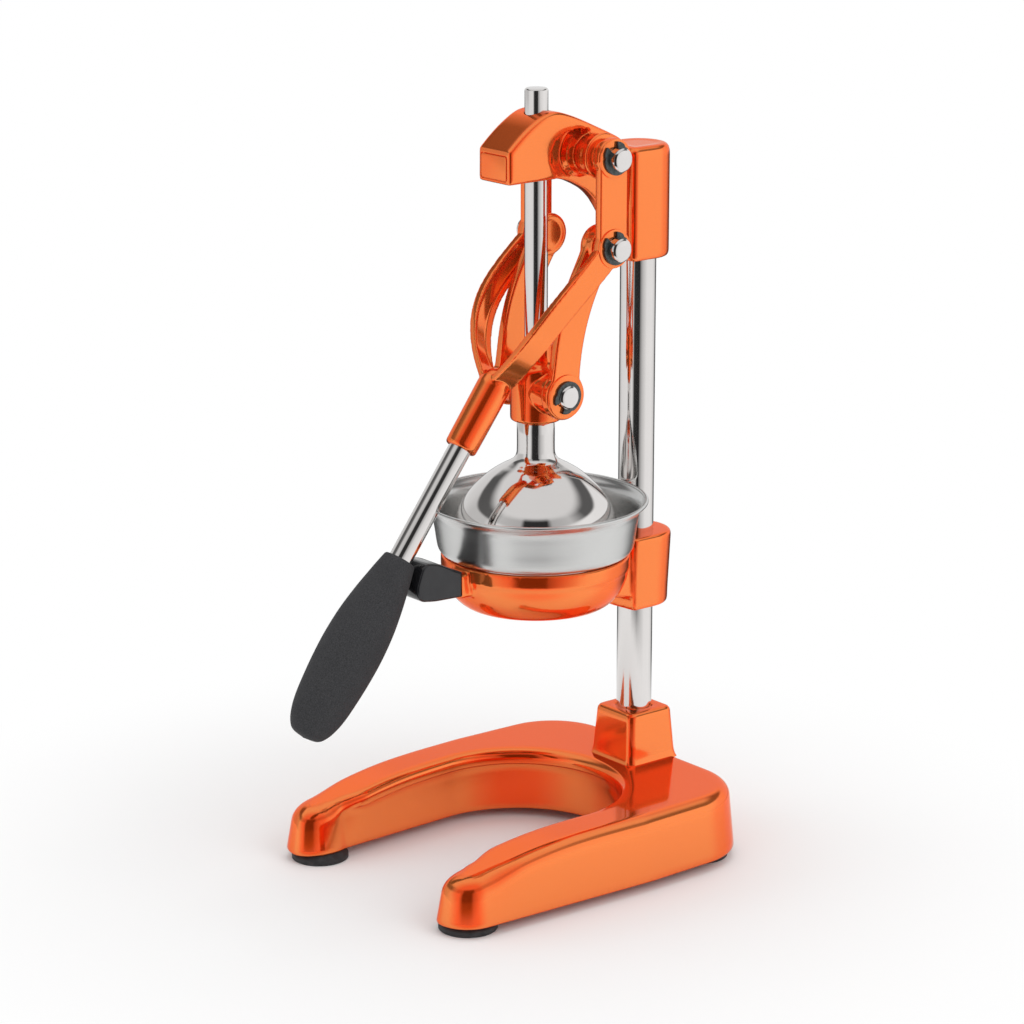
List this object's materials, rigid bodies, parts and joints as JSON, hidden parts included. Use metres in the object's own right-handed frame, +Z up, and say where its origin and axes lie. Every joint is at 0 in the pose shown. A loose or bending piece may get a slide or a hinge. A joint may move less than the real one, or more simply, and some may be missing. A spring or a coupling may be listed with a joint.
{
  "type": "lever citrus juice press",
  "caption": "Upright citrus press: a forked hand lever and two links push a bell on a guided plunger down onto a strainer cone in a bowl, over an open bay for a glass.",
  "frame": {"origin": "middle of the bounding box's floor area, on the table under the feet", "axes": "+Z up, -Y to the front where the lever hangs, +X to the user's right hand as the user faces the press"},
  "size_m": [0.198, 0.2836, 0.474],
  "materials": {
    "orange_enamel": "metallic gloss enamel",
    "chrome_plate": "polished",
    "sheet_steel": "satin stainless sheet",
    "zinc_steel": "zinc plated",
    "dark_steel": "black oxide",
    "bearing_bronze": "plain machined",
    "foot_rubber": "matte",
    "bumper_plastic": "gloss",
    "grip_rubber": "fine matte grain"
  },
  "bodies": {
    "stand": {"base_casting": "orange_enamel", "foot_front_left": "foot_rubber", "foot_front_right": "foot_rubber", "foot_rear_left": "foot_rubber", "foot_rear_right": "foot_rubber", "foot_screws": "zinc_steel", "column_rod": "chrome_plate", "column_bolt": "zinc_steel", "column_washer": "zinc_steel", "cup_arm": "orange_enamel", "cup_arm_set_screws": "dark_steel", "bumper_block": "bumper_plastic", "juice_bowl": "sheet_steel", "strainer_cone": "sheet_steel", "head_casting": "orange_enamel", "head_set_screws": "dark_steel", "nose_plate": "orange_enamel", "guide_bush_upper": "bearing_bronze", "guide_bush_lower": "bearing_bronze", "upper_pin": "chrome_plate", "upper_pin_rings": "dark_steel", "pivot_spacers": "orange_enamel", "pivot_washers": "orange_enamel"},
    "lever": {"lever_fork": "orange_enamel", "lever_rod": "chrome_plate", "lever_grip": "grip_rubber", "middle_pins": "chrome_plate", "middle_pin_rings": "dark_steel"},
    "links": {"link_left": "orange_enamel", "link_right": "orange_enamel", "lower_pin_ends": "chrome_plate", "lower_pin_rings": "dark_steel"},
    "plunger": {"plunger_hub": "orange_enamel", "hub_pins": "chrome_plate", "hub_set_screw": "dark_steel", "plunger_rod": "chrome_plate", "press_bell": "chrome_plate"}
  },
  "joints": [
    {"name": "lever_pivot", "type": "hinge", "parent": "stand", "child": "lever", "pos_m": [0, 0.06733, 0.434], "axis": [-1, 0, 0], "range_deg": [0, 120]},
    {"name": "link_pivot", "type": "hinge", "parent": "lever", "child": "links", "pos_m": [0, 0.06733, 0.3806], "axis": [-1, 0, 0], "range_deg": [-150, 0]},
    {"name": "plunger_slide", "type": "slide", "parent": "stand", "child": "plunger", "axis": [0, 0, 1], "range_m": [0, 0.0775]}
  ],
  "couplings": [
    {"joint": "link_pivot", "follows": "lever_pivot", "ratio": -1.2444},
    {"joint": "plunger_slide", "follows": "lever_pivot", "m_per_rad": 0.036901}
  ]
}
